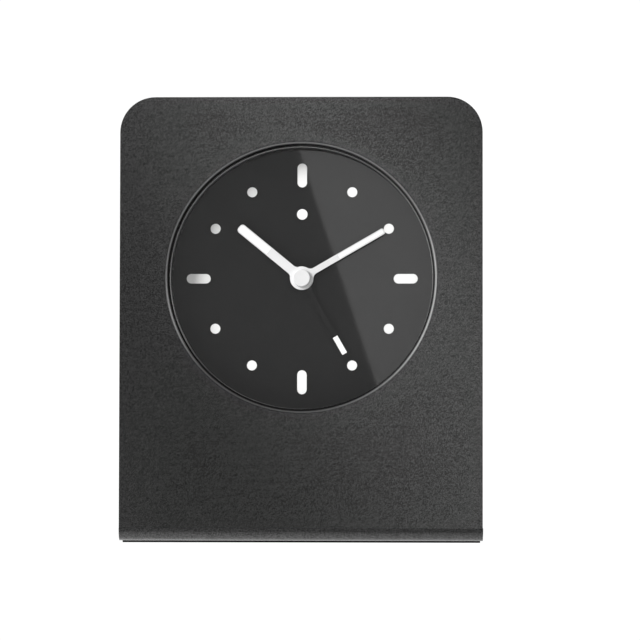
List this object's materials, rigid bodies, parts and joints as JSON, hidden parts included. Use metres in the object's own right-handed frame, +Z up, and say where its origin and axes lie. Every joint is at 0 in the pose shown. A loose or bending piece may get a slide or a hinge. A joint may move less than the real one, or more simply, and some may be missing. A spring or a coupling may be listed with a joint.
{
  "type": "analog alarm clock",
  "caption": "Bedside analog alarm clock: a dark sheet folded into a leaning face and a base, with a round recessed dial, white hands, an alarm hand and a drum of movement behind.",
  "frame": {"origin": "centre of the base's outline, on the surface that the clock stands on", "axes": "+Z up, +X to the right of someone facing the dial, the dial faces -Y"},
  "size_m": [0.0852, 0.052, 0.1042],
  "materials": {
    "body_metal": "fine sand-blasted, dark anodised",
    "pad_rubber": "matt",
    "lens_clear": "polished, clear",
    "dial_black": "matt dark",
    "dial_white": "white diffuser",
    "hand_white": "matt white paint",
    "lume_white": "luminous white",
    "hand_black": "matt black paint",
    "housing_black": "fine spark texture",
    "control_black": "satin",
    "control_white": "satin white",
    "fastener_steel": "turned, zinc plated",
    "cell_wrap": "plain printed sleeve",
    "contact_metal": "nickel plated spring",
    "movement_plastic": "moulded",
    "wheel_plastic": "natural moulded",
    "board_green": "solder mask",
    "chip_black": "moulded",
    "can_metal": "rolled sheet",
    "coil_copper": "enamelled wire",
    "magnet_grey": "sintered",
    "lamp_clear": "moulded clear"
  },
  "bodies": {
    "stand": {"folded_body": "body_metal", "foot_pad": "pad_rubber", "lens": "lens_clear", "dial_ring": "dial_black", "dial": "dial_black", "light_guide": "dial_white", "drum_housing": "housing_black", "rear_cover": "housing_black", "plate_studs": "fastener_steel", "housing_nuts": "fastener_steel", "rear_cover_screws": "fastener_steel", "movement_screws": "fastener_steel", "movement_pillars": "fastener_steel", "battery_cell": "cell_wrap", "battery_contact_plus": "contact_metal", "battery_contact_minus": "contact_metal", "movement_plate": "movement_plastic", "movement_bridge": "movement_plastic", "circuit_board": "board_green", "control_chip": "chip_black", "snooze_switch": "chip_black", "alarm_switch_body": "chip_black", "buzzer": "chip_black", "quartz_crystal": "can_metal", "stator": "can_metal", "drive_coil": "coil_copper", "dial_lamps": "lamp_clear"},
    "minute_work": {"minute_arbor": "wheel_plastic", "minute_hand": "hand_white", "minute_lume": "lume_white", "hand_cap": "hand_white"},
    "hour_work": {"hour_wheel": "wheel_plastic", "hour_hand": "hand_white", "hour_lume": "lume_white"},
    "time_setting": {"minute_wheel": "wheel_plastic", "time_knob": "control_black"},
    "third_work": {"third_wheel": "wheel_plastic"},
    "rotor_work": {"rotor": "magnet_grey"},
    "alarm_work": {"alarm_wheel": "wheel_plastic", "alarm_hand": "hand_black", "alarm_tip": "hand_white"},
    "alarm_setting": {"alarm_arbor": "wheel_plastic", "alarm_knob": "control_black"},
    "snooze": {"snooze_button": "control_black"},
    "alarm_slider": {"alarm_switch": "control_white"},
    "door": {"battery_door": "housing_black"}
  },
  "joints": [
    {"name": "minute_hand_turn", "type": "hinge", "parent": "stand", "child": "minute_work", "pos_m": [0, -0.01985, 0.06213], "axis": [0, 0.9945, -0.1045], "continuous": true},
    {"name": "hour_hand_turn", "type": "hinge", "parent": "stand", "child": "hour_work", "pos_m": [0, -0.01985, 0.06213], "axis": [0, 0.9945, -0.1045], "continuous": true},
    {"name": "time_knob_turn", "type": "hinge", "parent": "stand", "child": "time_setting", "pos_m": [-0.01128, -0.01943, 0.06621], "axis": [0, 0.9945, -0.1045], "continuous": true},
    {"name": "third_wheel_turn", "type": "hinge", "parent": "stand", "child": "third_work", "pos_m": [0, -0.01857, 0.0743], "axis": [0, 0.9945, -0.1045], "continuous": true},
    {"name": "rotor_turn", "type": "hinge", "parent": "stand", "child": "rotor_work", "pos_m": [0.00987, -0.0182, 0.07788], "axis": [0, 0.9945, -0.1045], "continuous": true},
    {"name": "alarm_hand_turn", "type": "hinge", "parent": "stand", "child": "alarm_work", "pos_m": [0, -0.01985, 0.06213], "axis": [0, 0.9945, -0.1045], "continuous": true},
    {"name": "alarm_knob_turn", "type": "hinge", "parent": "stand", "child": "alarm_setting", "pos_m": [0.01128, -0.01943, 0.06621], "axis": [0, 0.9945, -0.1045], "continuous": true},
    {"name": "snooze_press", "type": "slide", "parent": "stand", "child": "snooze", "axis": [0, -0.1045, -0.9945], "range_m": [0, 0.0012], "stiffness_N_per_m": 400, "springref_m": -0.0005},
    {"name": "alarm_switch_slide", "type": "slide", "parent": "stand", "child": "alarm_slider", "axis": [0, 0.1045, 0.9945], "range_m": [0, 0.004]},
    {"name": "battery_door_pull", "type": "slide", "parent": "stand", "child": "door", "axis": [0, 0.9945, -0.1045], "range_m": [0, 0.02]}
  ],
  "couplings": [
    {"joint": "hour_hand_turn", "follows": "minute_hand_turn", "ratio": 0.083333},
    {"joint": "time_knob_turn", "follows": "minute_hand_turn", "ratio": -0.33333},
    {"joint": "third_wheel_turn", "follows": "minute_hand_turn", "ratio": -5},
    {"joint": "rotor_turn", "follows": "minute_hand_turn", "ratio": 30},
    {"joint": "alarm_knob_turn", "follows": "alarm_hand_turn", "ratio": -4}
  ]
}
